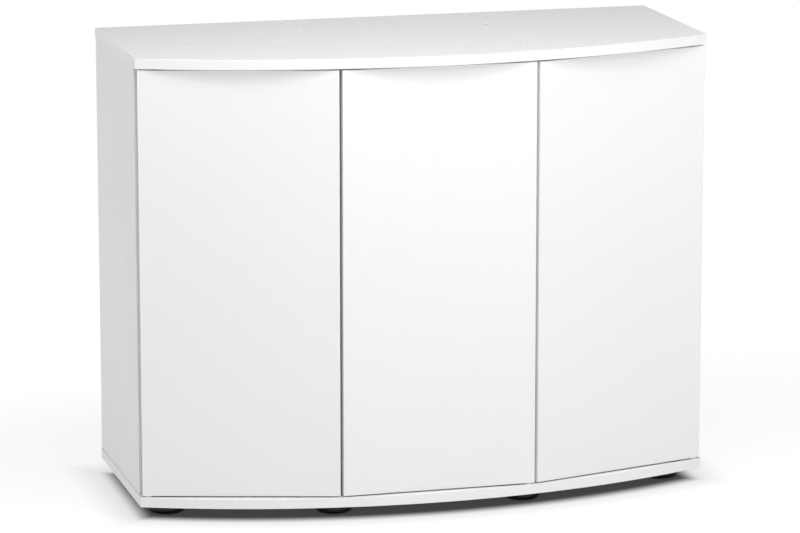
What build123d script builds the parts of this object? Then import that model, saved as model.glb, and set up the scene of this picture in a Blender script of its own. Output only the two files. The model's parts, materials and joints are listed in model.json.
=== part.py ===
"""Bow-front cabinet that carries an aquarium.

Millimetres, +Z up, front towards -Y.  The origin is on the floor, at the middle of the
bounding box in X and Y.  Each sub-part is written to its own STEP file in parts/.
"""

from build123d import *
from collections import namedtuple
from math import sqrt
import os

os.makedirs("parts", exist_ok=True)

# ---------------------------------------------------------------- driving dimensions
WIDTH = 920.0
DEPTH = 410.0
HEIGHT = 730.0
SIDE_DEPTH = 316.0        # depth of the top and bottom boards at their ends
BOARD = 16.0              # thickness of every board
BAND = 1.0                # thickness of the plastic edge band
BAND_ROUND = 0.7          # rounding of the band's long edges
FIT = 0.05                # radial clearance of screws and dowels in their holes
HOLE_SPARE = 1.0          # depth of a blind hole beyond what goes into it

FOOT_HEIGHT = 23.0
FOOT_RADIUS = 30.0

SIDE_INSET = 1.0          # side panels stand in from the ends of the top board
SIDE_FRONT_Y = -93.0
PARTITION_X = 153.3
PARTITION_FRONT_Y = -172.0
PARTITION_BACK_Y = 130.0
BACK_BOARD_Y = 187.0      # mid-plane of the back board

DOOR_OUTER_X = 457.5      # the outer doors' hinge edges
DOOR_JOINT_X = 160.1      # the outer doors' free edges
MIDDLE_DOOR_X = 155.1     # both edges of the middle door
DOOR_GAP = 2.0            # above and below each door
DOOR_SETBACK = 0.3        # door corners stand in from the bow by this much

PIVOT_ALONG = 9.0         # pivot axis from the door's hinge edge
PIVOT_DEEP = 7.0          # pivot axis behind the door's front face
PIN_RADIUS = 2.5

NOTCH_WIDTH = 80.0
NOTCH_HEIGHT = 60.0
NOTCH_ROUND = 20.0
TRIM_WALL = 1.5           # plastic trim that lines the notch
TRIM_LIP = 6.0
TRIM_LIP_THICKNESS = 1.0

SHELF_Z = 362.0           # underside of the shelves
SHELF_FRONT_Y = -85.0
SHELF_GAP = 1.0           # between a shelf and the boards round it

# ---------------------------------------------------------------- door pivots
PLATE_THICKNESS = 2.0
PLATE_WIDTH = 10.0
PLATE_REACH = 46.0        # from the pin to the centre of the plate's far end
PLATE_SCREWS_ALONG = (18.0, 40.0)
PIN_IN_DOOR = 10.0
PIN_CHAMFER = 0.8
BUSH_RADIUS = 4.0
BUSH_LENGTH = 13.0
BUSH_FLANGE_RADIUS = 6.0
BUSH_FLANGE = 0.95
BUSH_FIT = 0.02
WASHER = 1.0              # thrust washer under each door

# ---------------------------------------------------------------- touch latches
# Depths are measured inward from the door's front face, along the latch's axis.
LATCH_FROM_EDGE = 45.0    # latch axis from the door's free edge
LATCH_BELOW_TOP = 9.0     # latch axis below the top board
STRIKE_WIDTH = 16.0
STRIKE_HEIGHT = 12.0
STRIKE_THICKNESS = 1.5
STRIKE_ROUND = 2.0
STRIKE_SCREW_LENGTH = 10.0
MAGNET_RADIUS = 5.0
MAGNET_LENGTH = 3.0
MAGNET_CHAMFER = 0.6
MAGNET_FRONT = BOARD + STRIKE_THICKNESS + 0.3
PLUNGER_RADIUS = 4.0
PLUNGER_BACK = 66.0
BORE_RADIUS = 4.1
BORE_BACK = 70.0
LATCH_WIDTH = 16.0
LATCH_FRONT = 22.0
LATCH_LENGTH = 64.0
LATCH_FLANGE = 2.0
LATCH_FLANGE_WIDTH = 32.0
LATCH_ROUND = 3.0
LATCH_SCREWS_ACROSS = 11.5
LATCH_SCREWS_DEEP = (38.0, 74.0)
HOUSING_HALF_HEIGHT = LATCH_BELOW_TOP - LATCH_FLANGE

# ---------------------------------------------------------------- feet
FOOT_RIM = 8.0            # rounding of the foot's lower edge
FOOT_TOP_CHAMFER = 1.0
FOOT_WEB = 7.0            # plastic between the screw's head and the board
FOOT_BORE_RADIUS = 7.0
FOOT_SCREW_RADIUS = 2.0
FOOT_SCREW_HEAD = 4.5
FOOT_SCREW_HEAD_HEIGHT = 3.0
FOOT_SCREW_CHAMFER = 1.0
FOOT_SCREW_IN_BOARD = 13.0
FOOT_SCREW_TIP = 3.0

# ---------------------------------------------------------------- worked-out places
SIDES = (-1, 1)
BACK_Y = DEPTH / 2
BOW_RISE = DEPTH - SIDE_DEPTH
BOW_RADIUS = ((WIDTH / 2) ** 2 + BOW_RISE**2) / (2 * BOW_RISE)
BOW_CENTRE_Y = BOW_RADIUS - DEPTH / 2

FLOOR_Z = FOOT_HEIGHT + BOARD      # top face of the bottom board
CEILING_Z = HEIGHT - BOARD         # underside of the top board
DOOR_BOTTOM_Z = FLOOR_Z + DOOR_GAP
DOOR_TOP_Z = CEILING_Z - DOOR_GAP
DOOR_HEIGHT = DOOR_TOP_Z - DOOR_BOTTOM_Z
LATCH_Z = CEILING_Z - LATCH_BELOW_TOP

SIDE_X = WIDTH / 2 - SIDE_INSET - BOARD / 2
SIDE_INNER_X = SIDE_X - BOARD / 2
PARTITION_OUTER_X = PARTITION_X + BOARD / 2
BACK_BOARD_FRONT_Y = BACK_BOARD_Y - BOARD / 2

# ---------------------------------------------------------------- fasteners
CONNECTOR_HEAD = 5.0
CONNECTOR_SHANK = 3.5
CONNECTOR_THREAD = 3.2
CONNECTOR_SINK = 0.3
CONNECTOR_LENGTH = 50.0
CONNECTOR_STEP = 1.0      # taper between the shank and the thread
CONNECTOR_TIP = 4.0
CONNECTOR_TIP_RADIUS = 1.0
SOCKET_RADIUS = 2.3       # across the corners of the hexagon
SOCKET_DEPTH = 3.5
DOWEL_RADIUS = 4.0
DOWEL_IN_FLAT = 10.0
DOWEL_IN_EDGE = 20.0
DOWEL_LENGTH = DOWEL_IN_FLAT + DOWEL_IN_EDGE
SMALL_SHANK = 1.5
SMALL_HEAD = 2.8
SMALL_SCREW_LENGTH = 11.0
SMALL_TIP = 2.0
SMALL_CROSS = (3.4, 0.6, 1.2)      # length, width and depth of the cross in the head
FOOT_CROSS = (5.0, 1.0, 1.5)

# Plan positions of the joints of the upright boards with the top and bottom boards
SIDE_SCREW_YS = (-58.0, 153.0)
SIDE_DOWEL_YS = (-20.0, 110.0)
PARTITION_SCREW_YS = (-142.0, 80.0)
PARTITION_DOWEL_YS = (-107.0, 45.0)
BACK_SCREW_XS = (-160.0, 160.0)
BACK_DOWEL_XS = (-300.0, -60.0, 60.0, 300.0)
BACK_END_DOWEL_ZS = (140.0, 380.0, 600.0)

SHELF_PIN_RADIUS = 2.5
SHELF_PIN_YS = (-50.0, 105.0)
SHELF_PIN_STEPS = (-32.0, 0.0, 32.0)
SHELF_PIN_LENGTH = 16.0

FOOT_PLACES = [
    (-408.0, -58.0), (-154.0, -125.0), (154.0, -125.0), (408.0, -58.0),
    (-408.0, 150.0), (-154.0, 150.0), (154.0, 150.0), (408.0, 150.0),
]

UP = (0, 0, 1)
DOWN = (0, 0, -1)


def save(piece, name):
    """Label a finished piece and write it to its STEP file."""
    piece.part.label = name
    export_step(piece.part, f"parts/{name}.step")


def facing(direction, points, height):
    """Planes at plan points, all at one height, that face up or down."""
    return [Plane(origin=(x, y, height), z_dir=direction) for x, y in points]


def bow_y(x, inset):
    """Where the bow, drawn in by inset, stands at x."""
    return BOW_CENTRE_Y - sqrt((BOW_RADIUS - inset) ** 2 - x**2)


# ---------------------------------------------------------------- the three doors
# A door's own directions: along runs from its hinge edge to its free edge, and inward
# from its front face to its back face.
Door = namedtuple("Door", "name corner_x corner_y along inward width")


def make_door(name, hinge_x, free_x):
    """A door on a chord of the bow, from its hinge edge to its free edge."""
    hinge_y = bow_y(hinge_x, DOOR_SETBACK)
    free_y = bow_y(free_x, DOOR_SETBACK)
    run = free_x - hinge_x
    rise = free_y - hinge_y
    width = sqrt(run**2 + rise**2)
    along = (run / width, rise / width)
    side = 1 if run > 0 else -1
    inward = (-side * along[1], side * along[0])
    return Door(name, hinge_x, hinge_y, along, inward, width)


DOORS = [
    make_door("left", -DOOR_OUTER_X, -DOOR_JOINT_X),
    make_door("middle", MIDDLE_DOOR_X, -MIDDLE_DOOR_X),
    make_door("right", DOOR_OUTER_X, DOOR_JOINT_X),
]


def door_point(door, along, deep):
    """Plan point at a distance along the door and behind its front face."""
    x = door.corner_x + along * door.along[0] + deep * door.inward[0]
    y = door.corner_y + along * door.along[1] + deep * door.inward[1]
    return x, y


def door_plane(door, along, height, deep=0.0):
    """Plane parallel to the door's face, with its normal inward and its y up."""
    x, y = door_point(door, along, deep)
    ix, iy = door.inward
    return Plane(origin=(x, y, height), x_dir=(-iy, ix, 0), z_dir=(ix, iy, 0))


def pivot_point(door):
    return door_point(door, PIVOT_ALONG, PIVOT_DEEP)


def latch_along(door):
    return door.width - LATCH_FROM_EDGE


# ---------------------------------------------------------------- shared cutters
def cut_connectors(points, height, direction):
    """Countersunk through holes in a flat board, entered from its outer face."""
    with Locations(*facing(direction, points, height)):
        CounterSinkHole(
            radius=CONNECTOR_SHANK + FIT,
            counter_sink_radius=CONNECTOR_HEAD + CONNECTOR_SINK + 2 * FIT,
            depth=BOARD,
            counter_sink_angle=90,
        )


def cut_rounds(points, height, direction, radius, depth):
    """Blind round holes that go into the board, against direction."""
    with Locations(*facing(direction, points, height)):
        Hole(radius=radius, depth=depth)


# ---------------------------------------------------------------- top and bottom boards
def bow_outline(inset):
    """Outline of the top and bottom boards, drawn in along the ends and the front."""
    half = WIDTH / 2 - inset
    corner_y = bow_y(half, inset)
    with BuildSketch() as outline:
        with BuildLine():
            Polyline((-half, corner_y), (-half, BACK_Y), (half, BACK_Y), (half, corner_y))
            ThreePointArc(
                (half, corner_y), (0, BOW_CENTRE_Y - BOW_RADIUS + inset), (-half, corner_y)
            )
        make_face()
    return outline.sketch


SIDE_SCREWS = [(s * SIDE_X, y) for s in SIDES for y in SIDE_SCREW_YS]
SIDE_DOWELS = [(s * SIDE_X, y) for s in SIDES for y in SIDE_DOWEL_YS]
PARTITION_SCREWS = [(s * PARTITION_X, y) for s in SIDES for y in PARTITION_SCREW_YS]
PARTITION_DOWELS = [(s * PARTITION_X, y) for s in SIDES for y in PARTITION_DOWEL_YS]
BACK_SCREWS = [(x, BACK_BOARD_Y) for x in BACK_SCREW_XS]
BACK_DOWELS = [(x, BACK_BOARD_Y) for x in BACK_DOWEL_XS]
ALL_SCREWS = SIDE_SCREWS + PARTITION_SCREWS + BACK_SCREWS
ALL_DOWELS = SIDE_DOWELS + PARTITION_DOWELS + BACK_DOWELS


def plate_plane(door, height, normal):
    """Plane at the pivot, with its x axis along the door."""
    x, y = pivot_point(door)
    ux, uy = door.along
    return Plane(origin=(x, y, height), x_dir=(ux, uy, 0), z_dir=normal)


def plate_screw_points(door):
    return [door_point(door, PIVOT_ALONG + s, PIVOT_DEEP) for s in PLATE_SCREWS_ALONG]


def latch_screw_points(door):
    """Two screws on each side of the latch housing."""
    middle = latch_along(door)
    return [
        door_point(door, middle + s * LATCH_SCREWS_ACROSS, deep)
        for s in SIDES
        for deep in LATCH_SCREWS_DEEP
    ]


def make_bow_board(bottom, inner_z, outer_z, outward):
    """Top or bottom board without its band, with the joints' and pivots' cut-outs."""
    inward = tuple(-value for value in outward)
    with BuildPart() as board:
        with BuildSketch(Plane.XY.offset(bottom)):
            add(bow_outline(BAND))
        extrude(amount=BOARD)
        cut_connectors(ALL_SCREWS, outer_z, outward)
        cut_rounds(ALL_DOWELS, inner_z, inward, DOWEL_RADIUS + FIT, DOWEL_IN_FLAT + HOLE_SPARE)
        for door in DOORS:
            with BuildSketch(plate_plane(door, inner_z, outward)):
                with Locations((PLATE_REACH / 2, 0)):
                    SlotCenterToCenter(PLATE_REACH, PLATE_WIDTH)
            extrude(amount=PLATE_THICKNESS, mode=Mode.SUBTRACT)
            cut_rounds(
                plate_screw_points(door), inner_z, inward,
                SMALL_SHANK + FIT, SMALL_SCREW_LENGTH + HOLE_SPARE,
            )
    return board


def make_bow_band(bottom):
    """Edge band round the ends and the bowed front of a top or bottom board."""
    with BuildPart() as band:
        with BuildSketch(Plane.XY.offset(bottom)):
            add(bow_outline(0))
            add(bow_outline(BAND), mode=Mode.SUBTRACT)
        extrude(amount=BOARD)
        outer = [
            edge
            for edge in band.edges().filter_by(GeomType.CIRCLE)
            if abs(edge.radius - BOW_RADIUS) < BAND / 2
        ]
        fillet(outer, radius=BAND_ROUND)
    return band


top_panel = make_bow_board(CEILING_Z, CEILING_Z, HEIGHT, UP)
with top_panel:
    for latch_door in DOORS:
        cut_rounds(
            latch_screw_points(latch_door), CEILING_Z, DOWN, SMALL_SHANK + FIT, SMALL_SCREW_LENGTH
        )
save(top_panel, "top_panel")
save(make_bow_band(CEILING_Z), "top_edge_band")

bottom_panel = make_bow_board(FOOT_HEIGHT, FLOOR_Z, FOOT_HEIGHT, DOWN)
with bottom_panel:
    cut_rounds(
        FOOT_PLACES, FOOT_HEIGHT, DOWN, FOOT_SCREW_RADIUS + FIT, FOOT_SCREW_IN_BOARD + HOLE_SPARE
    )
save(bottom_panel, "bottom_panel")
save(make_bow_band(FOOT_HEIGHT), "bottom_edge_band")


# ---------------------------------------------------------------- upright boards
def block(low, high):
    """Rectangular board between two corners, in the part that is being built."""
    with Locations(low):
        Box(
            high[0] - low[0], high[1] - low[1], high[2] - low[2],
            align=(Align.MIN, Align.MIN, Align.MIN),
        )


def cut_end_joints(screws, dowels):
    """Holes in both ends of an upright board."""
    thread = CONNECTOR_LENGTH - BOARD + 3 * HOLE_SPARE
    cut_rounds(screws, CEILING_Z, UP, CONNECTOR_THREAD + FIT, thread)
    cut_rounds(screws, FLOOR_Z, DOWN, CONNECTOR_THREAD + FIT, thread)
    cut_rounds(dowels, CEILING_Z, UP, DOWEL_RADIUS + FIT, DOWEL_IN_EDGE + HOLE_SPARE)
    cut_rounds(dowels, FLOOR_Z, DOWN, DOWEL_RADIUS + FIT, DOWEL_IN_EDGE + HOLE_SPARE)


def cut_across(x, direction, points, radius, depth):
    """Blind holes from a board's face at x, at (y, z) points."""
    planes = [Plane(origin=(x, y, z), z_dir=(direction, 0, 0)) for y, z in points]
    with Locations(*planes):
        Hole(radius=radius, depth=depth)


def make_front_band(low, high):
    """Band on a straight front edge, rounded along both long front corners."""
    long_axis = Axis.Z if high[2] - low[2] > high[0] - low[0] else Axis.X
    with BuildPart() as band:
        block(low, high)
        front = band.faces().sort_by(Axis.Y)[0]
        fillet(front.edges().filter_by(long_axis), radius=BAND_ROUND)
    return band


SHELF_HOLES = [
    (y, SHELF_Z - SHELF_PIN_RADIUS + step) for y in SHELF_PIN_YS for step in SHELF_PIN_STEPS
]
BACK_END_DOWELS = [(BACK_BOARD_Y, z) for z in BACK_END_DOWEL_ZS]

for side, word in zip(SIDES, ("left", "right")):
    near = side * SIDE_X
    inner_x = side * SIDE_INNER_X
    with BuildPart() as panel:
        block(
            (near - BOARD / 2, SIDE_FRONT_Y + BAND, FLOOR_Z),
            (near + BOARD / 2, BACK_Y, CEILING_Z),
        )
        cut_end_joints(
            [p for p in SIDE_SCREWS if p[0] * side > 0],
            [p for p in SIDE_DOWELS if p[0] * side > 0],
        )
        cut_across(
            inner_x, -side, SHELF_HOLES,
            SHELF_PIN_RADIUS + FIT, SHELF_PIN_LENGTH / 2 + HOLE_SPARE,
        )
        cut_across(inner_x, -side, BACK_END_DOWELS, DOWEL_RADIUS + FIT, DOWEL_IN_FLAT + HOLE_SPARE)
    save(panel, f"{word}_side_panel")
    save(
        make_front_band(
            (near - BOARD / 2, SIDE_FRONT_Y, FLOOR_Z),
            (near + BOARD / 2, SIDE_FRONT_Y + BAND, CEILING_Z),
        ),
        f"{word}_side_edge_band",
    )

    mid = side * PARTITION_X
    with BuildPart() as partition:
        block(
            (mid - BOARD / 2, PARTITION_FRONT_Y + BAND, FLOOR_Z),
            (mid + BOARD / 2, PARTITION_BACK_Y, CEILING_Z),
        )
        cut_end_joints(
            [p for p in PARTITION_SCREWS if p[0] * side > 0],
            [p for p in PARTITION_DOWELS if p[0] * side > 0],
        )
        cut_across(
            side * PARTITION_OUTER_X, side, SHELF_HOLES,
            SHELF_PIN_RADIUS + FIT, SHELF_PIN_LENGTH / 2 + HOLE_SPARE,
        )
    save(partition, f"{word}_partition")
    save(
        make_front_band(
            (mid - BOARD / 2, PARTITION_FRONT_Y, FLOOR_Z),
            (mid + BOARD / 2, PARTITION_FRONT_Y + BAND, CEILING_Z),
        ),
        f"{word}_partition_edge_band",
    )

    # ------------------------------------------------------------ shelf of this bay
    ends = sorted((side * (PARTITION_OUTER_X + SHELF_GAP), side * (SIDE_INNER_X - SHELF_GAP)))
    with BuildPart() as shelf:
        block(
            (ends[0], SHELF_FRONT_Y + BAND, SHELF_Z),
            (ends[1], BACK_BOARD_FRONT_Y - SHELF_GAP, SHELF_Z + BOARD),
        )
    save(shelf, f"{word}_shelf")
    save(
        make_front_band(
            (ends[0], SHELF_FRONT_Y, SHELF_Z), (ends[1], SHELF_FRONT_Y + BAND, SHELF_Z + BOARD)
        ),
        f"{word}_shelf_edge_band",
    )

with BuildPart() as shelf_pins:
    pin_z = SHELF_Z - SHELF_PIN_RADIUS
    for board_x in (-SIDE_INNER_X, -PARTITION_OUTER_X, PARTITION_OUTER_X, SIDE_INNER_X):
        for pin_y in SHELF_PIN_YS:
            with Locations(Plane(origin=(board_x, pin_y, pin_z), z_dir=(1, 0, 0))):
                Cylinder(SHELF_PIN_RADIUS, SHELF_PIN_LENGTH)
save(shelf_pins, "shelf_pins")


# ---------------------------------------------------------------- back board
def notch_plane(side):
    """Mid-plane of the back board, with its x axis out towards one side."""
    return Plane(origin=(0, BACK_BOARD_Y, 0), x_dir=(side, 0, 0), z_dir=(0, -side, 0))


def notch_outline(grow):
    """Notch in an upper corner of the back board, for hoses and cables."""
    width = NOTCH_WIDTH + grow
    height = NOTCH_HEIGHT + grow
    with BuildSketch() as outline:
        with Locations((SIDE_INNER_X, CEILING_Z)):
            Rectangle(width, height, align=(Align.MAX, Align.MAX))
        corner = outline.vertices().sort_by(Axis.X)[:2].sort_by(Axis.Y)[0]
        fillet(corner, radius=NOTCH_ROUND + grow)
    return outline.sketch


with BuildPart() as back_panel:
    block(
        (-SIDE_INNER_X, BACK_BOARD_FRONT_Y, FLOOR_Z),
        (SIDE_INNER_X, BACK_BOARD_FRONT_Y + BOARD, CEILING_Z),
    )
    cut_end_joints(BACK_SCREWS, BACK_DOWELS)
    for side in SIDES:
        cut_across(
            side * SIDE_INNER_X, side, BACK_END_DOWELS,
            DOWEL_RADIUS + FIT, DOWEL_IN_EDGE + HOLE_SPARE,
        )
        with BuildSketch(notch_plane(side)):
            add(notch_outline(0))
        extrude(amount=BOARD, both=True, mode=Mode.SUBTRACT)
save(back_panel, "back_panel")

for side, word in zip(SIDES, ("left", "right")):
    with BuildPart() as trim:
        with BuildSketch(notch_plane(side)):
            add(notch_outline(TRIM_LIP))
            add(notch_outline(-TRIM_WALL), mode=Mode.SUBTRACT)
        extrude(amount=BOARD / 2 + TRIM_LIP_THICKNESS, both=True)
        with BuildSketch(notch_plane(side)):
            add(notch_outline(TRIM_LIP))
            add(notch_outline(0), mode=Mode.SUBTRACT)
        extrude(amount=BOARD / 2, both=True, mode=Mode.SUBTRACT)
    save(trim, f"{word}_notch_trim")


# ---------------------------------------------------------------- doors and their pivots
def cut_cross(height, length, width, depth):
    """Cross in the face of a screw's head."""
    with Locations((0, 0, height)):
        Box(length, width, 2 * depth, mode=Mode.SUBTRACT)
        Box(width, length, 2 * depth, mode=Mode.SUBTRACT)


def small_screw(length):
    """Countersunk screw with its head's face at the origin, pointing down."""
    with BuildPart() as screw:
        with BuildSketch(Plane.XZ):
            with BuildLine():
                Polyline(
                    (0, 0), (SMALL_HEAD, 0), (SMALL_SHANK, SMALL_SHANK - SMALL_HEAD),
                    (SMALL_SHANK, SMALL_TIP - length), (0, -length), close=True,
                )
            make_face()
        revolve(axis=Axis.Z)
        cut_cross(0, *SMALL_CROSS)
    return screw.part


def cut_pivot_holes(door):
    """Holes for the two flanged bushes, in the door's top and bottom edges."""
    cut_rounds([pivot_point(door)], DOOR_TOP_Z, UP, BUSH_RADIUS + BUSH_FIT, BUSH_LENGTH)
    cut_rounds([pivot_point(door)], DOOR_BOTTOM_Z, DOWN, BUSH_RADIUS + BUSH_FIT, BUSH_LENGTH)


def make_bush():
    """Flanged bush with its flange's underside at the origin and its barrel below."""
    with BuildPart() as bush:
        with Locations((0, 0, BUSH_FLANGE)):
            Cylinder(BUSH_FLANGE_RADIUS, BUSH_FLANGE, align=(Align.CENTER, Align.CENTER, Align.MAX))
        with Locations((0, 0, 0)):
            Cylinder(BUSH_RADIUS, BUSH_LENGTH, align=(Align.CENTER, Align.CENTER, Align.MAX))
        with Locations((0, 0, BUSH_FLANGE)):
            Hole(radius=PIN_RADIUS + FIT, depth=BUSH_LENGTH + BUSH_FLANGE)
    return bush.part


def make_pivot_plate(door, board_z, outward):
    """Steel plate let into a board, with the pivot pin that stands out of it."""
    inward = tuple(-value for value in outward)
    with BuildPart() as plate:
        with BuildSketch(plate_plane(door, board_z, outward)):
            with Locations((PLATE_REACH / 2, 0)):
                SlotCenterToCenter(PLATE_REACH, PLATE_WIDTH)
        extrude(amount=PLATE_THICKNESS)
        with Locations(*facing(inward, plate_screw_points(door), board_z)):
            CounterSinkHole(
                radius=SMALL_SHANK + FIT, counter_sink_radius=SMALL_HEAD + 2 * FIT,
                depth=PLATE_THICKNESS, counter_sink_angle=90,
            )
        with BuildSketch(plate_plane(door, board_z, inward)):
            Circle(PIN_RADIUS)
        extrude(amount=DOOR_GAP + PIN_IN_DOOR)
        tip = plate.faces().filter_by(Plane.XY).sort_by(Axis.Z)[-1 if inward[2] > 0 else 0]
        chamfer(tip.edges(), length=PIN_CHAMFER)
    return plate


for door in DOORS:
    middle = door.width / 2
    mid_z = (DOOR_BOTTOM_Z + DOOR_TOP_Z) / 2
    strike_place = (latch_along(door), LATCH_Z)

    with BuildPart() as leaf:
        with BuildSketch(door_plane(door, middle, mid_z)):
            Rectangle(door.width - 2 * BAND, DOOR_HEIGHT - 2 * BAND)
        extrude(amount=BOARD)
        cut_pivot_holes(door)
        back = door_plane(door, *strike_place, deep=BOARD)
        with Locations(back):
            Hole(radius=SMALL_SHANK + FIT, depth=STRIKE_SCREW_LENGTH)
    save(leaf, f"{door.name}_door")

    with BuildPart() as door_band:
        with BuildSketch(door_plane(door, middle, mid_z)):
            Rectangle(door.width, DOOR_HEIGHT)
            Rectangle(door.width - 2 * BAND, DOOR_HEIGHT - 2 * BAND, mode=Mode.SUBTRACT)
        extrude(amount=BOARD)
        across = Axis((0, 0, 0), (*door.inward, 0))
        rims = door_band.faces().filter_by(across).sort_by(across)
        fillet(rims[0].outer_wire().edges() + rims[-1].outer_wire().edges(), radius=BAND_ROUND)
        cut_pivot_holes(door)
    save(door_band, f"{door.name}_door_edge_band")

    with BuildPart() as bushes:
        with Locations(*facing(UP, [pivot_point(door)], DOOR_TOP_Z)):
            add(make_bush())
        with Locations(*facing(DOWN, [pivot_point(door)], DOOR_BOTTOM_Z)):
            add(make_bush())
    save(bushes, f"{door.name}_door_bushes")

    save(make_pivot_plate(door, CEILING_Z, UP), f"{door.name}_upper_pivot")
    save(make_pivot_plate(door, FLOOR_Z, DOWN), f"{door.name}_lower_pivot")

    # ------------------------------------------------------------ strike plate and screw
    with BuildPart() as strike:
        with BuildSketch(door_plane(door, *strike_place, deep=BOARD)):
            RectangleRounded(STRIKE_WIDTH, STRIKE_HEIGHT, radius=STRIKE_ROUND)
        extrude(amount=STRIKE_THICKNESS)
        with Locations(door_plane(door, *strike_place, deep=BOARD + STRIKE_THICKNESS)):
            CounterSinkHole(
                radius=SMALL_SHANK + FIT, counter_sink_radius=SMALL_HEAD + 2 * FIT,
                depth=STRIKE_THICKNESS, counter_sink_angle=90,
            )
    save(strike, f"{door.name}_strike_plate")

with BuildPart() as thrust_washers:
    with BuildSketch(Plane.XY.offset(FLOOR_Z)):
        with Locations(*[pivot_point(door) for door in DOORS]):
            Circle(BUSH_FLANGE_RADIUS)
            Circle(PIN_RADIUS + FIT, mode=Mode.SUBTRACT)
    extrude(amount=WASHER)
save(thrust_washers, "thrust_washers")


def make_strike_screw(door):
    """Screw that holds the strike plate, driven from inside the cabinet."""
    x, y = door_point(door, latch_along(door), BOARD + STRIKE_THICKNESS)
    with BuildPart() as screw:
        with Locations(Plane(origin=(x, y, LATCH_Z), z_dir=(*door.inward, 0))):
            add(small_screw(STRIKE_SCREW_LENGTH))
    return screw


# ---------------------------------------------------------------- touch latches
for door in DOORS:
    save(make_strike_screw(door), f"{door.name}_strike_screw")

    latch_place = (latch_along(door), LATCH_Z)
    housing_plane = door_plane(door, *latch_place, deep=LATCH_FRONT)
    with BuildPart() as housing:
        with BuildSketch(housing_plane):
            RectangleRounded(LATCH_WIDTH, 2 * HOUSING_HALF_HEIGHT, radius=LATCH_ROUND)
        extrude(amount=LATCH_LENGTH)
        with BuildSketch(housing_plane):
            with Locations((0, HOUSING_HALF_HEIGHT)):
                Rectangle(LATCH_WIDTH, HOUSING_HALF_HEIGHT, align=(Align.CENTER, Align.MAX))
                Rectangle(LATCH_FLANGE_WIDTH, LATCH_FLANGE, align=(Align.CENTER, Align.MIN))
        extrude(amount=LATCH_LENGTH)
        with BuildSketch(housing_plane):
            Circle(BORE_RADIUS)
        extrude(amount=BORE_BACK - LATCH_FRONT, mode=Mode.SUBTRACT)
        flange_z = CEILING_Z - LATCH_FLANGE
        with Locations(*facing(DOWN, latch_screw_points(door), flange_z)):
            CounterSinkHole(
                radius=SMALL_SHANK + FIT, counter_sink_radius=SMALL_HEAD + 2 * FIT,
                depth=LATCH_FLANGE, counter_sink_angle=90,
            )
    save(housing, f"{door.name}_latch_housing")

    with BuildPart() as plunger:
        with BuildSketch(door_plane(door, *latch_place, deep=MAGNET_FRONT + MAGNET_LENGTH)):
            Circle(PLUNGER_RADIUS)
        extrude(amount=PLUNGER_BACK - MAGNET_FRONT - MAGNET_LENGTH)
    save(plunger, f"{door.name}_latch_plunger")

    with BuildPart() as magnet:
        with BuildSketch(door_plane(door, *latch_place, deep=MAGNET_FRONT)):
            Circle(MAGNET_RADIUS)
        extrude(amount=MAGNET_LENGTH)
        across = Axis((0, 0, 0), (*door.inward, 0))
        chamfer(magnet.faces().filter_by(across).sort_by(across)[0].edges(), length=MAGNET_CHAMFER)
    save(magnet, f"{door.name}_latch_magnet")


# ---------------------------------------------------------------- screws and dowels
def connector_screw():
    """Connecting screw with its head's face just below the origin, pointing down."""
    top = -CONNECTOR_SINK
    neck = top - (CONNECTOR_HEAD - CONNECTOR_SHANK)
    with BuildPart() as screw:
        with BuildSketch(Plane.XZ):
            with BuildLine():
                Polyline(
                    (0, top), (CONNECTOR_HEAD, top), (CONNECTOR_SHANK, neck),
                    (CONNECTOR_SHANK, CONNECTOR_STEP - BOARD), (CONNECTOR_THREAD, -BOARD),
                    (CONNECTOR_THREAD, CONNECTOR_TIP - CONNECTOR_LENGTH),
                    (CONNECTOR_TIP_RADIUS, -CONNECTOR_LENGTH),
                    (0, -CONNECTOR_LENGTH), close=True,
                )
            make_face()
        revolve(axis=Axis.Z)
        with BuildSketch(Plane.XY.offset(top)):
            RegularPolygon(radius=SOCKET_RADIUS, side_count=6)
        extrude(amount=-SOCKET_DEPTH, mode=Mode.SUBTRACT)
    return screw.part


def make_group(shape, planes):
    """One node that holds a copy of a small part on each plane."""
    with BuildPart() as group:
        with Locations(*planes):
            add(shape)
    return group


save(make_group(connector_screw(), facing(UP, ALL_SCREWS, HEIGHT)), "top_screws")
save(make_group(connector_screw(), facing(DOWN, ALL_SCREWS, FOOT_HEIGHT)), "bottom_screws")

plate_points = [point for door in DOORS for point in plate_screw_points(door)]
latch_points = [point for door in DOORS for point in latch_screw_points(door)]
small = small_screw(SMALL_SCREW_LENGTH)
save(
    make_group(
        small, facing(DOWN, plate_points, CEILING_Z) + facing(UP, plate_points, FLOOR_Z)
    ),
    "pivot_screws",
)
save(make_group(small, facing(DOWN, latch_points, CEILING_Z - LATCH_FLANGE)), "latch_screws")

with BuildPart() as dowels:
    for height, direction in ((CEILING_Z, UP), (FLOOR_Z, DOWN)):
        with Locations(*facing(direction, ALL_DOWELS, height)):
            with Locations((0, 0, DOWEL_IN_FLAT)):
                Cylinder(
                    DOWEL_RADIUS, DOWEL_LENGTH, align=(Align.CENTER, Align.CENTER, Align.MAX)
                )
    for side in SIDES:
        for y, z in BACK_END_DOWELS:
            with Locations(Plane(origin=(side * SIDE_INNER_X, y, z), z_dir=(side, 0, 0))):
                with Locations((0, 0, DOWEL_IN_FLAT)):
                    Cylinder(
                        DOWEL_RADIUS, DOWEL_LENGTH, align=(Align.CENTER, Align.CENTER, Align.MAX)
                    )
save(dowels, "dowels")


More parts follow.
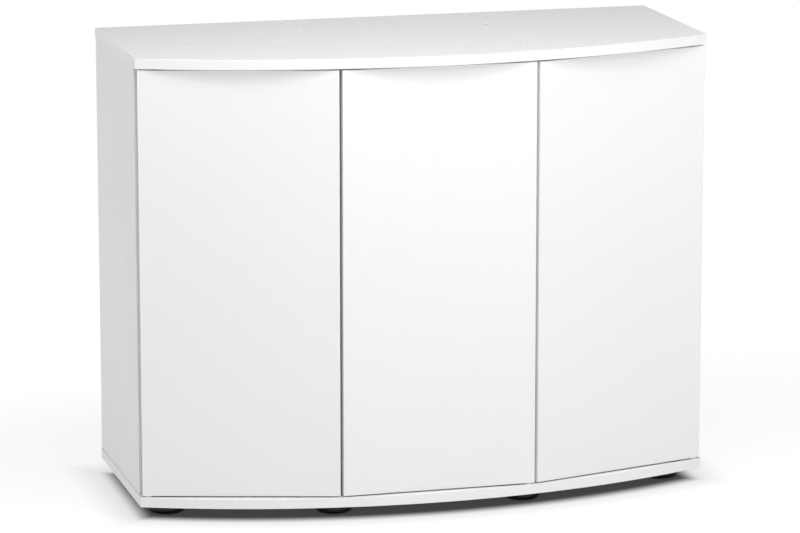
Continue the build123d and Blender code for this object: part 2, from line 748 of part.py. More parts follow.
# ---------------------------------------------------------------- feet
def make_foot():
    """Low round foot with its top face at the origin and a deep bore from below."""
    with BuildPart() as foot:
        with BuildSketch(Plane.XZ):
            with BuildLine():
                Polyline(
                    (0, 0), (FOOT_RADIUS - FOOT_TOP_CHAMFER, 0), (FOOT_RADIUS, -FOOT_TOP_CHAMFER),
                    (FOOT_RADIUS, FOOT_RIM - FOOT_HEIGHT),
                )
                RadiusArc(
                    (FOOT_RADIUS, FOOT_RIM - FOOT_HEIGHT),
                    (FOOT_RADIUS - FOOT_RIM, -FOOT_HEIGHT), FOOT_RIM,
                )
                Polyline((FOOT_RADIUS - FOOT_RIM, -FOOT_HEIGHT), (0, -FOOT_HEIGHT), (0, 0))
            make_face()
        revolve(axis=Axis.Z)
        with Locations(Plane(origin=(0, 0, -FOOT_HEIGHT), z_dir=DOWN)):
            CounterBoreHole(
                radius=FOOT_SCREW_RADIUS + FIT,
                counter_bore_radius=FOOT_BORE_RADIUS,
                counter_bore_depth=FOOT_HEIGHT - FOOT_WEB,
                depth=FOOT_HEIGHT,
            )
    return foot.part


def make_foot_screw():
    """Pan-head screw with the foot's top face at the origin, pointing up."""
    face = -FOOT_WEB - FOOT_SCREW_HEAD_HEIGHT
    with BuildPart() as screw:
        with BuildSketch(Plane.XZ):
            with BuildLine():
                Polyline(
                    (0, face), (FOOT_SCREW_HEAD - FOOT_SCREW_CHAMFER, face),
                    (FOOT_SCREW_HEAD, face + FOOT_SCREW_CHAMFER), (FOOT_SCREW_HEAD, -FOOT_WEB),
                    (FOOT_SCREW_RADIUS, -FOOT_WEB),
                    (FOOT_SCREW_RADIUS, FOOT_SCREW_IN_BOARD - FOOT_SCREW_TIP),
                    (0, FOOT_SCREW_IN_BOARD), close=True,
                )
            make_face()
        revolve(axis=Axis.Z)
        cut_cross(face, *FOOT_CROSS)
    return screw.part


foot_planes = facing(UP, FOOT_PLACES, FOOT_HEIGHT)
front_foot_planes = [plane for plane in foot_planes if plane.origin.Y < 0]
back_foot_planes = [plane for plane in foot_planes if plane.origin.Y > 0]
save(make_group(make_foot(), front_foot_planes), "front_feet")
save(make_group(make_foot(), back_foot_planes), "back_feet")
save(make_group(make_foot_screw(), foot_planes), "foot_screws")
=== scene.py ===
import json
import math

import bmesh
import bpy
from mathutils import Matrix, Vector


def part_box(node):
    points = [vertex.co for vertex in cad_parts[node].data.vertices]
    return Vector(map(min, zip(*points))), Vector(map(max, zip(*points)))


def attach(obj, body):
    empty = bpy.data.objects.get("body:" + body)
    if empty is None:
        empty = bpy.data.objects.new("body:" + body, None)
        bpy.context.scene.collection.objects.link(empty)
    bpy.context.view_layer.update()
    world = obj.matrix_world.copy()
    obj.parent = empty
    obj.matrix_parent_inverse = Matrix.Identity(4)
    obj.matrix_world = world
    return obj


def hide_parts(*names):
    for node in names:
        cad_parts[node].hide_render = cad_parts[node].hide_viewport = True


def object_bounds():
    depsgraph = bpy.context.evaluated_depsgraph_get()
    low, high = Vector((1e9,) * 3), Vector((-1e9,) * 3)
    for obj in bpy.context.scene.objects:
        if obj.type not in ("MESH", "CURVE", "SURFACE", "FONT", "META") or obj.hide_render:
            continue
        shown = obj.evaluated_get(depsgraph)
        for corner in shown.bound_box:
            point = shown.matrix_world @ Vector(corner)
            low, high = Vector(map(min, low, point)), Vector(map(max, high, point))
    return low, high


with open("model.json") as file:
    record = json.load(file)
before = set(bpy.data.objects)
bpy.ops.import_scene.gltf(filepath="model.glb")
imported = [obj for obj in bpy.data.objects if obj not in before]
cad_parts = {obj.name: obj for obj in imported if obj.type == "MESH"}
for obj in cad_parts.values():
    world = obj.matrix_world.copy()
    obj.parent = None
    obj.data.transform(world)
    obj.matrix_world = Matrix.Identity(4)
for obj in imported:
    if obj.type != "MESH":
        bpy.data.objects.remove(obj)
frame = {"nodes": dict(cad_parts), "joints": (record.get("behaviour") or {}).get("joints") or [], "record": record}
cad_low, cad_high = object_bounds()
record = frame["record"]
slot_of = {part["node"]: part["material_slot"] for part in record["subparts"]}

# ------------------------------------------------------------------ view and light
CAMERA_POINT = (-1.703, -6.233, 1.750)
CAMERA_TURN = 15.18        # degrees to the right of straight ahead
CAMERA_DROP = 12.16        # degrees below the horizon
LENS = 186.6               # millimetres on a 36 mm wide sensor

# Each softbox: name, place, aim point, width, height, power in watts
SOFTBOXES = [
    ("top_softbox", (0.25, -1.5, 1.9), (0.1, -0.15, 0.55), 1.6, 0.8, 13.2),
    ("high_softbox", (0.0, -0.95, 2.7), (0.0, -0.25, 0.5), 2.4, 0.6, 36.0),
    ("left_softbox", (-0.35, -0.6, 1.5), (-0.2, -0.25, 0.4), 0.7, 0.3, 1.5),
    ("low_softbox", (0.2, -2.2, 0.35), (0.0, -0.2, 0.3), 2.4, 0.5, 6.5),
    ("right_softbox", (1.3, -1.7, 0.4), (0.2, -0.2, 0.3), 1.0, 0.5, 2.5),
    ("side_softbox", (-2.6, 0.6, 0.5), (-0.4, 0.0, 0.25), 1.6, 0.8, 9.0),
]
SKY_STRENGTH = 0.63        # at the zenith; the sky fades towards the horizon
SKY_START = 0.3            # height of the view direction where the sky is dark

FLOOR_SIZE = 60.0
FLOOR_GLOW = 0.64          # strength of the floor's glow just outside the painted shadow round the cabinet
FAR_GLOW = 0.18            # glow added a little further out, the soft outer edge of the painted shadow
BACK_GLOW = 0.11           # and what is added behind the cabinet
PAINTED_SHADOW_GLOW = 0.07          # share of the glow that is left in the painted shadow under the cabinet
FLOOR_WHITE, FLOOR_PAINTED_SHADOW = 0.2, 0.05   # its colour in the open, and its colour darkened to a painted shadow under the cabinet
# Metres outside the cabinet's outline where each change begins and ends; the first two set the edges of the
# painted shadow
GLOW_EDGE = (-0.038, -0.003)
FAR_EDGE = (-0.02, 0.06)
BACK_EDGE = (0.2, 1.5)     # metres behind the cabinet's middle
END_SPREAD = 0.012         # the outline, and with it the painted shadow, is taken this much wider at the ends
BOW_RISE = 0.094           # how far the bowed front stands out past the board's ends


def aim(thing, point):
    """Turn a light or camera so that it looks at a point."""
    direction = Vector(point) - thing.location
    thing.rotation_euler = direction.to_track_quat("-Z", "Y").to_euler()


def make_camera():
    data = bpy.data.cameras.new("camera")
    data.lens = LENS
    data.sensor_width = 36.0
    data.clip_end = 100.0
    camera = bpy.data.objects.new("camera", data)
    camera.location = CAMERA_POINT
    turn, drop = math.radians(CAMERA_TURN), math.radians(CAMERA_DROP)
    camera.rotation_euler = (math.pi / 2 - drop, 0.0, -turn)
    bpy.context.collection.objects.link(camera)
    bpy.context.scene.camera = camera


def make_softbox(name, place, target, width, height, power):
    data = bpy.data.lights.new(name, "AREA")
    data.shape = "RECTANGLE"
    data.size, data.size_y = width, height
    data.energy = power
    light = bpy.data.objects.new(name, data)
    light.location = place
    aim(light, target)
    light.visible_camera = False
    bpy.context.collection.objects.link(light)


def make_sky():
    """A white sky, bright overhead and fading towards the horizon."""
    world = bpy.data.worlds.new("studio")
    world.use_nodes = True
    tree = world.node_tree
    background = tree.nodes["Background"]
    background.inputs["Color"].default_value = (1.0, 1.0, 1.0, 1.0)
    direction = tree.nodes.new("ShaderNodeTexCoord")
    split = tree.nodes.new("ShaderNodeSeparateXYZ")
    rise = tree.nodes.new("ShaderNodeMapRange")
    rise.inputs["From Min"].default_value = SKY_START
    rise.inputs["To Max"].default_value = SKY_STRENGTH
    tree.links.new(direction.outputs["Generated"], split.inputs[0])
    tree.links.new(split.outputs["Z"], rise.inputs["Value"])
    tree.links.new(rise.outputs["Result"], background.inputs["Strength"])
    bpy.context.scene.world = world


# ------------------------------------------------------------------ materials
class Shader:
    """A Principled material with a short way to add and join nodes."""

    def __init__(self, name):
        self.material = bpy.data.materials.new(name)
        self.material.use_nodes = True
        self.tree = self.material.node_tree
        self.surface = self.tree.nodes["Principled BSDF"]
        coordinates = self.tree.nodes.new("ShaderNodeTexCoord")
        self.place = coordinates.outputs["Object"]
        self.normal = coordinates.outputs["Normal"]

    def node(self, kind, **settings):
        node = self.tree.nodes.new(kind)
        for name, value in settings.items():
            setattr(node, name, value)
        return node

    def join(self, source, target):
        self.tree.links.new(source, target)

    def set(self, **values):
        """Constant values on the shader's own sockets."""
        for name, value in values.items():
            self.surface.inputs[name.replace("_", " ")].default_value = value

    def mapped(self, stretch):
        """Object coordinates in metres, multiplied along each axis."""
        mapping = self.node("ShaderNodeMapping")
        mapping.inputs["Scale"].default_value = stretch
        self.join(self.place, mapping.inputs["Vector"])
        return mapping.outputs["Vector"]

    def noise(self, scale, detail=2.0, roughness=0.5, stretch=(1.0, 1.0, 1.0)):
        noise = self.node("ShaderNodeTexNoise")
        noise.inputs["Scale"].default_value = scale
        noise.inputs["Detail"].default_value = detail
        noise.inputs["Roughness"].default_value = roughness
        self.join(self.mapped(stretch), noise.inputs["Vector"])
        return noise.outputs["Fac"]

    def cells(self, scale, stretch=(1.0, 1.0, 1.0)):
        """Random value of each Voronoi cell, and the distance from its middle."""
        voronoi = self.node("ShaderNodeTexVoronoi")
        voronoi.inputs["Scale"].default_value = scale
        self.join(self.mapped(stretch), voronoi.inputs["Vector"])
        split = self.node("ShaderNodeSeparateColor")
        self.join(voronoi.outputs["Color"], split.inputs["Color"])
        return split.outputs["Red"], voronoi.outputs["Distance"]

    def math(self, operation, first, second=0.0):
        """One arithmetic step on sockets or plain numbers."""
        node = self.node("ShaderNodeMath", operation=operation)
        for socket, value in zip(node.inputs, (first, second)):
            if isinstance(value, (int, float)):
                socket.default_value = value
            else:
                self.join(value, socket)
        return node.outputs["Value"]

    def remap(self, value, low, high, start=0.0, end=1.0, curve="LINEAR"):
        """Carry a value from one range to another."""
        node = self.node("ShaderNodeMapRange", clamp=True, interpolation_type=curve)
        for name, number in zip(
            ("From Min", "From Max", "To Min", "To Max"), (start, end, low, high)
        ):
            node.inputs[name].default_value = number
        self.join(value, node.inputs["Value"])
        return node.outputs["Result"]

    def blend(self, factor, first, second):
        """Mix two colours, each a socket or a plain (r, g, b)."""
        node = self.node("ShaderNodeMix", data_type="RGBA")
        self.join(factor, node.inputs["Factor"])
        for socket, colour in ((node.inputs["A"], first), (node.inputs["B"], second)):
            if isinstance(colour, tuple):
                socket.default_value = (*colour, 1.0)
            else:
                self.join(colour, socket)
        return node.outputs["Result"]

    def colour(self, source):
        self.join(source, self.surface.inputs["Base Color"])

    def roughness(self, source):
        self.join(source, self.surface.inputs["Roughness"])

    def bump(self, *layers):
        """Stack bumps, each (height socket, strength, distance in metres)."""
        below = None
        for height, strength, distance in layers:
            node = self.node("ShaderNodeBump")
            node.inputs["Strength"].default_value = strength
            node.inputs["Distance"].default_value = distance
            self.join(height, node.inputs["Height"])
            if below is not None:
                self.join(below, node.inputs["Normal"])
            below = node.outputs["Normal"]
        self.join(below, self.surface.inputs["Normal"])


WHITE = (0.805, 0.805, 0.805)
WHITE_DEEP = (0.79, 0.79, 0.79)
CHIP_PALE = (0.60, 0.45, 0.28)
CHIP_DEEP = (0.30, 0.19, 0.10)
CHIP_PORE = (0.12, 0.07, 0.035)
FLAT_CHIPS = (1.0, 1.0, 3.2)       # flakes lie flat in a level board
UPRIGHT_CHIPS = (3.2, 1.0, 0.8)    # and stand on edge in an upright one


def melamine(name, chips=None):
    """Satin melamine foil; with chips, raw chipboard on the edges that face back."""
    shader = Shader(name)
    cloud = shader.noise(2.5, detail=3.0)
    colour = shader.blend(shader.remap(cloud, 0.0, 1.0, 0.3, 0.7), WHITE, WHITE_DEEP)
    roughness = shader.remap(shader.noise(60.0, detail=4.0), 0.36, 0.46, 0.3, 0.7)
    pearl = shader.noise(1500.0, detail=2.0, roughness=0.6)
    ripple = shader.noise(220.0, detail=1.0)
    layers = [(ripple, 0.15, 0.00008), (pearl, 0.25, 0.00005)]
    if chips is not None:
        split = shader.node("ShaderNodeSeparateXYZ")
        shader.join(shader.normal, split.inputs[0])
        raw = shader.remap(split.outputs["Y"], 0.0, 1.0, 0.85, 0.95)
        flake, edge = shader.cells(330.0, chips)
        dust = shader.noise(1400.0, detail=3.0)
        wood = shader.blend(flake, CHIP_PALE, CHIP_DEEP)
        wood = shader.blend(shader.remap(dust, 0.0, 0.45, 0.45, 0.8), wood, CHIP_PORE)
        wood = shader.blend(shader.remap(edge, 0.0, 0.8, 0.55, 0.95), wood, CHIP_PORE)
        colour = shader.blend(raw, colour, wood)
        roughness = shader.math("MAXIMUM", roughness, shader.math("MULTIPLY", raw, 0.85))
        layers.append((shader.math("MULTIPLY", raw, flake), 0.8, 0.0004))
    shader.colour(colour)
    shader.roughness(roughness)
    shader.bump(*layers)
    shader.set(IOR=1.5)
    return shader.material


def edge_band():
    """Smooth plastic band, with faint lengthwise drag marks from the trimming cutter."""
    shader = Shader("plastic_edge_band")
    cloud = shader.noise(6.0, detail=3.0)
    shader.colour(shader.blend(shader.remap(cloud, 0.0, 1.0, 0.3, 0.7), WHITE, WHITE_DEEP))
    drag = shader.noise(900.0, detail=2.0, stretch=(0.03, 0.03, 1.0))
    shader.roughness(shader.remap(drag, 0.30, 0.40, 0.3, 0.7))
    shader.bump((drag, 0.12, 0.00003), (shader.noise(1800.0), 0.15, 0.00003))
    shader.set(IOR=1.5)
    return shader.material


def moulded(name, colour, pale, roughness, grain):
    """Spark-textured moulding plastic: fine grain, flow clouds and rubbed high spots."""
    shader = Shader(name)
    flow = shader.noise(70.0, detail=4.0)
    value, edge = shader.cells(grain)
    rubbed = shader.remap(shader.noise(240.0, detail=5.0, roughness=0.7), 0.0, 1.0, 0.56, 0.72)
    base = shader.blend(shader.remap(flow, 0.0, 0.5, 0.35, 0.7), colour, pale)
    shader.colour(shader.blend(shader.math("MULTIPLY", rubbed, 0.5), base, pale))
    shader.roughness(shader.remap(flow, roughness - 0.07, roughness + 0.07, 0.3, 0.7))
    shader.bump((edge, 0.35, 0.00008), (value, 0.2, 0.00004))
    shader.set(IOR=1.49)
    return shader.material


def zinc(name, colour, roughness, stretch=(1.0, 1.0, 1.0)):
    """Zinc-plated steel: a spangled tint, drawing marks and a patchy shine."""
    shader = Shader(name)
    spangle, edge = shader.cells(520.0, stretch)
    warm = (colour[0] * 0.93, colour[1] * 0.90, colour[2] * 0.80)
    shader.colour(shader.blend(shader.remap(spangle, 0.0, 0.7), colour, warm))
    drawn = shader.noise(1600.0, detail=3.0, stretch=stretch)
    patch = shader.noise(150.0, detail=4.0)
    shader.roughness(shader.remap(patch, roughness - 0.08, roughness + 0.1, 0.3, 0.7))
    shader.bump((drawn, 0.3, 0.00003), (edge, 0.1, 0.00003))
    shader.set(Metallic=1.0)
    return shader.material


def nylon():
    """Natural nylon: milky, a little light passes through its skin."""
    shader = Shader("natural_nylon")
    milk = shader.noise(260.0, detail=4.0)
    shader.colour(shader.blend(milk, (0.80, 0.78, 0.71), (0.72, 0.69, 0.60)))
    shader.roughness(shader.remap(milk, 0.38, 0.52, 0.3, 0.7))
    shader.bump((shader.noise(2200.0, detail=2.0), 0.2, 0.00004))
    shader.set(Subsurface_Weight=0.25, Subsurface_Radius=(0.004, 0.003, 0.002), IOR=1.53)
    return shader.material


def beech():
    """Raw beech dowel: grain and short pores along its length."""
    shader = Shader("beech_dowel")
    grain = shader.noise(500.0, detail=4.0, stretch=(1.0, 1.0, 0.12))
    pores = shader.noise(2400.0, detail=1.0, stretch=(1.0, 1.0, 0.08))
    wood = shader.blend(grain, (0.60, 0.42, 0.25), (0.45, 0.28, 0.15))
    wood = shader.blend(shader.remap(pores, 0.0, 0.6, 0.6, 0.75), wood, (0.22, 0.12, 0.06))
    shader.colour(wood)
    shader.roughness(shader.remap(grain, 0.6, 0.75, 0.3, 0.7))
    shader.bump((pores, 0.3, 0.0001))
    return shader.material


SLOT_MATERIALS = {
    "edge_band": edge_band(),
    "foot_plastic": moulded(
        "black_foot_plastic", (0.004, 0.004, 0.004), (0.012, 0.012, 0.013), 0.34, 1500.0
    ),
    "trim_plastic": moulded(
        "black_trim_plastic", (0.018, 0.018, 0.019), (0.045, 0.045, 0.046), 0.52, 1900.0
    ),
    "latch_plastic": moulded(
        "grey_latch_plastic", (0.42, 0.43, 0.44), (0.52, 0.53, 0.54), 0.42, 1700.0
    ),
    "latch_plunger": moulded(
        "pale_plunger_plastic", (0.62, 0.63, 0.63), (0.72, 0.72, 0.72), 0.34, 2100.0
    ),
    "magnet": zinc("magnet_face", (0.40, 0.40, 0.42), 0.34),
    "plated_steel": zinc("zinc_plate", (0.74, 0.75, 0.77), 0.34, (1.0, 0.15, 1.0)),
    "bush_plastic": nylon(),
    "connector_steel": zinc("connector_zinc", (0.96, 0.97, 0.98), 0.7),
    "screw_steel": zinc("screw_zinc", (0.76, 0.77, 0.78), 0.34),
    "beech": beech(),
}
FACE = melamine("melamine_face")
FLAT_BOARD = melamine("melamine_flat_board", FLAT_CHIPS)
UPRIGHT_BOARD = melamine("melamine_upright_board", UPRIGHT_CHIPS)


def material_for(name):
    """Boards that show a raw back edge differ by the way their flakes lie."""
    if slot_of[name] != "white_board":
        return SLOT_MATERIALS[slot_of[name]]
    if name.endswith("_door") or name == "back_panel":
        return FACE
    if name.endswith("_side_panel") or name.endswith("_partition"):
        return UPRIGHT_BOARD
    return FLAT_BOARD


def dress_nodes():
    for name, node in frame["nodes"].items():
        node.data.materials.clear()
        node.data.materials.append(material_for(name))


# ------------------------------------------------------------------ detail pieces
MM = 0.001
SMOOTH_BELOW = math.radians(32.0)
UP = Vector((0.0, 0.0, 1.0))
OVERLAP = 0.3              # millimetres a rib, boss or collar reaches into its neighbour


def islands(name):
    """Lowest and highest corner of each separate solid in a CAD node."""
    builder = bmesh.new()
    builder.from_mesh(frame["nodes"][name].data)
    bmesh.ops.remove_doubles(builder, verts=builder.verts, dist=1e-6)
    waiting = set(builder.verts)
    boxes = []
    while waiting:
        group = [waiting.pop()]
        for vert in group:
            for edge in vert.link_edges:
                other = edge.other_vert(vert)
                if other in waiting:
                    waiting.remove(other)
                    group.append(other)
        low = Vector(min(vert.co[axis] for vert in group) for axis in range(3))
        high = Vector(max(vert.co[axis] for vert in group) for axis in range(3))
        boxes.append((low, high))
    builder.free()
    return sorted(boxes, key=lambda box: tuple(round(value, 4) for value in box[0]))


def lathe(builder, outline, place, axis=UP, sides=72):
    """Turn a (radius, height) outline, in millimetres, about an axis through a place."""
    across = axis.orthogonal().normalized()
    verts = [
        builder.verts.new(place + MM * (radius * across + height * axis))
        for radius, height in outline
    ]
    edges = [builder.edges.new(pair) for pair in zip(verts, verts[1:])]
    bmesh.ops.spin(
        builder, geom=verts + edges, cent=place, axis=axis, angle=2 * math.pi, steps=sides,
        use_merge=True,
    )


def slab(builder, corners, offset):
    """A flat outline made solid by moving a copy of it through offset."""
    near = [builder.verts.new(corner) for corner in corners]
    far = [builder.verts.new(corner + offset) for corner in corners]
    builder.faces.new(near)
    builder.faces.new(reversed(far))
    for index, vert in enumerate(near):
        before = index - 1
        builder.faces.new((vert, near[before], far[before], far[index]))


def arc(radius, centre, start, end, steps=8):
    """Points of an arc, with its angles in degrees, in a (radius, height) outline."""
    turns = [math.radians(start + (end - start) * step / steps) for step in range(steps + 1)]
    return [
        (centre[0] + radius * math.cos(turn), centre[1] + radius * math.sin(turn))
        for turn in turns
    ]


def settled(builder):
    """Corners, no loose edges, and faces, in an order that is the same in each run."""
    corners = sorted(builder.verts, key=lambda vert: tuple(vert.co))
    index = {vert: number for number, vert in enumerate(corners)}
    faces = []
    for face in builder.faces:
        ring = [index[vert] for vert in face.verts]
        first = ring.index(min(ring))
        faces.append(ring[first:] + ring[:first])
    return [tuple(vert.co) for vert in corners], [], sorted(faces)


def finish_piece(builder, name, like, body="carcass", replaced=()):
    """Shade, place and dress a new piece like a CAD node."""
    bmesh.ops.remove_doubles(builder, verts=builder.verts, dist=1e-6)
    bmesh.ops.recalc_face_normals(builder, faces=builder.faces)
    mesh = bpy.data.meshes.new(name)
    mesh.from_pydata(*settled(builder))
    builder.free()
    mesh.shade_smooth()
    mesh.set_sharp_from_angle(angle=SMOOTH_BELOW)
    mesh.materials.append(material_for(like))
    piece = bpy.data.objects.new(name, mesh)
    bpy.context.collection.objects.link(piece)
    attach(piece, body)
    if replaced:
        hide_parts(*replaced)


# A foot is a hollow moulding: sizes in millimetres, radii from its axis
FOOT_RIM = 8.0             # rounding of the lower edge
FOOT_WALL = 2.5
FOOT_TREAD = 2.2           # width of the ring that stands on the floor
FOOT_WELL = 7.0            # well for the screw's head
FOOT_WELL_WALL = 2.2
FOOT_HOLE = 2.1
FOOT_WEB = 7.0             # plastic above the screw's head
FOOT_DECK = 3.5            # plastic over the hollow
FOOT_RIBS = 10
FOOT_RIB_HALF = 0.8
FOOT_RIB_LOW = 3.0         # underside of the ribs
FOOT_GROOVE = 0.5          # depth of the groove round the outside
FOOT_GROOVE_RISE = 3.2     # from the rounding up to the groove
FOOT_GROOVE_SLOPE = 0.4
FOOT_GROOVE_FLAT = 0.6


def foot_outline(radius, height):
    """Section of a foot from its screw hole round the outside and back up the well."""
    tread = radius - FOOT_RIM
    inner = radius - FOOT_WALL
    deck = height - FOOT_DECK
    well = FOOT_WELL + FOOT_WELL_WALL
    hollow_rim = FOOT_RIM - FOOT_WALL
    groove_low = FOOT_RIM + FOOT_GROOVE_RISE
    groove_floor = groove_low + FOOT_GROOVE_SLOPE
    groove_roof = groove_floor + FOOT_GROOVE_FLAT
    return [
        (FOOT_HOLE, height),
        *arc(0.8, (radius - 0.8, height - 0.8), 90, 0, 4),
        (radius, groove_roof + FOOT_GROOVE_SLOPE),
        (radius - FOOT_GROOVE, groove_roof),
        (radius - FOOT_GROOVE, groove_floor),
        (radius, groove_low),
        *arc(FOOT_RIM, (tread, FOOT_RIM), 0, -90, 12),
        *arc(0.6, (tread - FOOT_TREAD, 0.6), 270, 180, 4),
        *arc(0.6, (tread - FOOT_TREAD, FOOT_WALL + 0.2), 180, 90, 3),
        *arc(hollow_rim, (tread, FOOT_RIM), -80, 0, 8),
        *arc(1.5, (inner - 1.5, deck - 1.5), 0, 90, 4),
        (well, deck),
        *arc(0.5, (well - 0.5, 1.1), 0, -90, 3),
        *arc(0.5, (FOOT_WELL + 0.5, 1.1), -90, -180, 3),
        (FOOT_WELL, height - FOOT_WEB),
        (FOOT_HOLE, height - FOOT_WEB),
        (FOOT_HOLE, height),
    ]


def add_foot_ribs(builder, place, radius, height):
    """Ribs that run from the screw well to the outer wall, inside the hollow."""
    inner = radius - FOOT_WALL + OVERLAP
    well = FOOT_WELL + FOOT_WELL_WALL - OVERLAP
    deck = height - FOOT_DECK + OVERLAP
    tread = radius - FOOT_RIM
    hollow_rim = FOOT_RIM - FOOT_WALL + OVERLAP
    section = [
        (well, FOOT_RIB_LOW),
        (tread, FOOT_RIB_LOW),
        *arc(hollow_rim, (tread, FOOT_RIM), -60, 0, 5),
        (inner, deck),
        (well, deck),
    ]
    for rib in range(FOOT_RIBS):
        turn = 2 * math.pi * (rib + 0.5) / FOOT_RIBS
        out = Vector((math.cos(turn), math.sin(turn), 0.0))
        side = MM * FOOT_RIB_HALF * Vector((-out.y, out.x, 0.0))
        corners = [place + MM * (r * out + z * UP) - side for r, z in section]
        slab(builder, corners, 2 * side)


def make_feet():
    """Ribbed hollow mouldings in place of the plain feet."""
    for name in ("front_feet", "back_feet"):
        builder = bmesh.new()
        for low, high in islands(name):
            radius = (high.x - low.x) / 2 / MM
            height = (high.z - low.z) / MM
            place = Vector(((low.x + high.x) / 2, (low.y + high.y) / 2, low.z))
            lathe(builder, foot_outline(radius, height), place, sides=96)
            add_foot_ribs(builder, place, radius, height)
        finish_piece(builder, f"moulded_{name}", name, replaced=(name,))


PIN_COLLAR = 4.2           # radius of the collar in the gap beside the shelf
PIN_COLLAR_HALF = 0.35     # half of the collar's thickness
PIN_COLLAR_MIDDLE = 0.5    # from the pin's middle, towards the shelf
PIN_GROOVES = 3
PIN_GROOVE_PITCH = 1.6
PIN_GROOVE = 0.3           # depth of a groove, and length of each of its slopes
PIN_GROOVE_FLAT = 0.4


def make_shelf_pins():
    """Turned shelf pins: a grooved shank in the board, a thin collar and a bare peg."""
    builder = bmesh.new()
    for low, high in islands("shelf_pins"):
        middle = (low + high) / 2
        radius = (high.z - low.z) / 2 / MM
        half = (high.x - low.x) / 2 / MM
        shelf_low, shelf_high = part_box("left_shelf" if middle.x < 0 else "right_shelf")
        to_shelf = (shelf_low[0] + shelf_high[0]) / 2 - middle.x
        axis = Vector((math.copysign(1.0, to_shelf), 0.0, 0.0))
        outline = [(0.0, half)]
        outline += arc(0.9, (radius - 0.9, half - 0.9), 90, 0, 4)
        outline += [(radius, PIN_COLLAR_MIDDLE + PIN_COLLAR_HALF)]
        collar_rim = (PIN_COLLAR - PIN_COLLAR_HALF, PIN_COLLAR_MIDDLE)
        outline += arc(PIN_COLLAR_HALF, collar_rim, 90, -90, 6)
        outline += [(radius, PIN_COLLAR_MIDDLE - PIN_COLLAR_HALF)]
        for groove in range(PIN_GROOVES):
            start = -PIN_GROOVE_PITCH * (groove + 1)
            floor_start = start - PIN_GROOVE
            floor_end = floor_start - PIN_GROOVE_FLAT
            outline += [(radius, start), (radius - PIN_GROOVE, floor_start)]
            outline += [(radius - PIN_GROOVE, floor_end), (radius, floor_end - PIN_GROOVE)]
        outline += arc(0.6, (radius - 0.6, 0.6 - half), 0, -90, 3)
        outline += [(0.0, -half)]
        lathe(builder, outline, middle, axis, sides=40)
    finish_piece(builder, "turned_shelf_pins", "shelf_pins", replaced=("shelf_pins",))


# Webs, bosses and collar of a touch latch, in millimetres
WEB_PLACES = (5.0, 26.0, 42.0, 59.0)   # from the housing's front
WEB_THICK = 1.4
WEB_DROP = 6.5             # how far a web runs down the housing
WEB_INSET = 0.8            # from the flange's edge
FLANGE = 2.0
BODY_HALF = 8.0            # half of the housing's width
BOSS_OUTER, BOSS_INNER, BOSS_HEIGHT = 4.3, 3.1, 0.9
COLLAR_OUTER, COLLAR_INNER, COLLAR_PROUD = 6.3, 4.3, 0.8
SCREWS_NEAR = 32.0         # a point along the housing that its own screws are close to
SCREWS_WITHIN = 50.0       # and how close they are


def latch_space(door):
    """A latch's inward and sideways directions and its lowest and highest reach along them."""
    slide = next(joint for joint in frame["joints"] if joint["name"] == f"{door}_latch_slide")
    inward = -Vector(slide["axis"]).normalized()
    sideways = UP.cross(inward)
    points = [vert.co for vert in frame["nodes"][f"{door}_latch_housing"].data.vertices]
    reach = [
        (min(point.dot(way) for point in points), max(point.dot(way) for point in points))
        for way in (inward, sideways, UP)
    ]
    return inward, sideways, reach


def make_latch_ribs(door):
    """Webs under the flange, bosses round its screws and a collar at the plunger's mouth."""
    inward, sideways, reach = latch_space(door)
    (front, _), (side_low, side_high), (_, ceiling) = reach
    centre = (side_low + side_high) / 2
    flange_half = (side_high - side_low) / 2 - MM * WEB_INSET

    def at(deep, across, down):
        """A point of the latch: millimetres in from its front, metres across and down."""
        return (front + MM * deep) * inward + (centre + across) * sideways + (ceiling - down) * UP

    builder = bmesh.new()
    flange_under = MM * (FLANGE - OVERLAP)
    for side in (-1, 1):
        body = side * MM * (BODY_HALF - OVERLAP)
        for deep in WEB_PLACES:
            corners = [
                at(deep, body, flange_under),
                at(deep, side * flange_half, flange_under),
                at(deep, side * flange_half, MM * (FLANGE + 0.6)),
                at(deep, side * MM * (BODY_HALF + 1.2), MM * (FLANGE + WEB_DROP - 1.0)),
                at(deep, body, MM * (FLANGE + WEB_DROP)),
            ]
            slab(builder, corners, MM * WEB_THICK * inward)
    ring = [
        (BOSS_OUTER, -OVERLAP),
        *arc(0.3, (BOSS_OUTER - 0.3, BOSS_HEIGHT - 0.3), 0, 90, 3),
        *arc(0.3, (BOSS_INNER + 0.3, BOSS_HEIGHT - 0.3), 90, 180, 3),
        (BOSS_INNER, -OVERLAP),
        (BOSS_OUTER, -OVERLAP),
    ]
    for low, high in islands("latch_screws"):
        head = Vector(((low.x + high.x) / 2, (low.y + high.y) / 2, ceiling - MM * FLANGE))
        if (head - at(SCREWS_NEAR, 0.0, 0.0)).length < MM * SCREWS_WITHIN:
            lathe(builder, ring, head, -UP, sides=40)
    mouth = [
        (COLLAR_OUTER, -OVERLAP),
        *arc(0.4, (COLLAR_OUTER - 0.4, COLLAR_PROUD - 0.4), 0, 90, 4),
        *arc(0.25, (COLLAR_INNER + 0.25, COLLAR_PROUD - 0.25), 90, 180, 3),
        (COLLAR_INNER, -OVERLAP),
        (COLLAR_OUTER, -OVERLAP),
    ]
    magnet_low, magnet_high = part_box(f"{door}_latch_magnet")
    axis_height = (magnet_low[2] + magnet_high[2]) / 2
    lathe(builder, mouth, at(0.0, 0.0, ceiling - axis_height), -inward, sides=56)
    finish_piece(builder, f"{door}_latch_ribs", f"{door}_latch_housing")


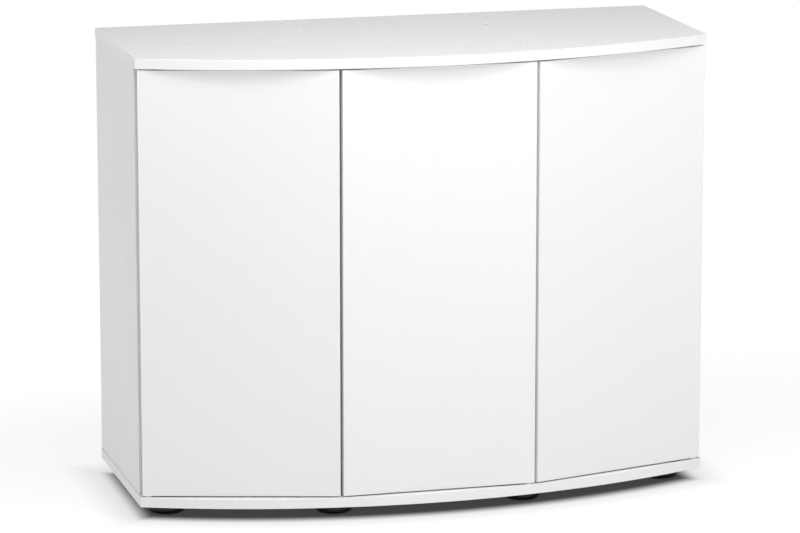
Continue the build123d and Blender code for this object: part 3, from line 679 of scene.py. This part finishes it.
# ------------------------------------------------------------------ floor
def outside_cabinet(shader):
    """Distance outside the outline of the cabinet's bow-fronted boards, in metres."""
    half_width, half_depth = cad_high[0], cad_high[1]
    bow_radius = (half_width**2 + BOW_RISE**2) / (2.0 * BOW_RISE)
    split = shader.node("ShaderNodeSeparateXYZ")
    shader.join(shader.place, split.inputs[0])
    x, y = split.outputs["X"], split.outputs["Y"]
    past_end = shader.math("SUBTRACT", shader.math("ABSOLUTE", x), half_width + END_SPREAD)
    past_back = shader.math("SUBTRACT", y, half_depth)
    from_centre = shader.node("ShaderNodeVectorMath", operation="DISTANCE")
    shader.join(shader.place, from_centre.inputs[0])
    from_centre.inputs[1].default_value = (0.0, bow_radius - half_depth, 0.0)
    past_bow = shader.math("SUBTRACT", from_centre.outputs["Value"], bow_radius)
    return shader.math("MAXIMUM", shader.math("MAXIMUM", past_end, past_back), past_bow)


def make_floor():
    """A white glowing floor, its glow and colour cut to a painted shadow under and just round the cabinet."""
    mesh = bpy.data.meshes.new("floor")
    builder = bmesh.new()
    bmesh.ops.create_grid(builder, x_segments=8, y_segments=8, size=FLOOR_SIZE / 2)
    builder.to_mesh(mesh)
    builder.free()
    floor = bpy.data.objects.new("floor", mesh)
    bpy.context.collection.objects.link(floor)
    shader = Shader("glow_floor_painted_shadow")
    distance = outside_cabinet(shader)
    # The painted shadow: glow and colour drop under the cabinet and rise again just outside it.
    near = shader.remap(distance, PAINTED_SHADOW_GLOW, 1.0, *GLOW_EDGE, curve="SMOOTHSTEP")
    # Extra glow that forms the soft outer edge of the painted shadow.
    far = shader.remap(distance, 0.0, FAR_GLOW, *FAR_EDGE, curve="SMOOTHSTEP")
    split = shader.node("ShaderNodeSeparateXYZ")
    shader.join(shader.place, split.inputs[0])
    back = shader.remap(split.outputs["Y"], 0.0, BACK_GLOW, *BACK_EDGE, curve="SMOOTHSTEP")
    # Floor colour darkened to a painted shadow under the cabinet.
    shader.colour(shader.blend(near, (FLOOR_PAINTED_SHADOW,) * 3, (FLOOR_WHITE,) * 3))
    glow = shader.math("ADD", shader.math("MULTIPLY", near, FLOOR_GLOW), far)
    glow = shader.math("ADD", glow, back)
    shader.join(glow, shader.surface.inputs["Emission Strength"])
    shader.set(Roughness=0.9, Emission_Color=(1, 1, 1, 1), Specular_IOR_Level=0.0)
    mesh.materials.append(shader.material)


make_camera()
make_sky()
for softbox in SOFTBOXES:
    make_softbox(*softbox)
make_floor()
dress_nodes()
make_feet()
make_shelf_pins()
for door_name in ("left", "middle", "right"):
    make_latch_ribs(door_name)

scene = bpy.context.scene
scene.view_settings.view_transform = "Standard"
scene.view_settings.look = "None"
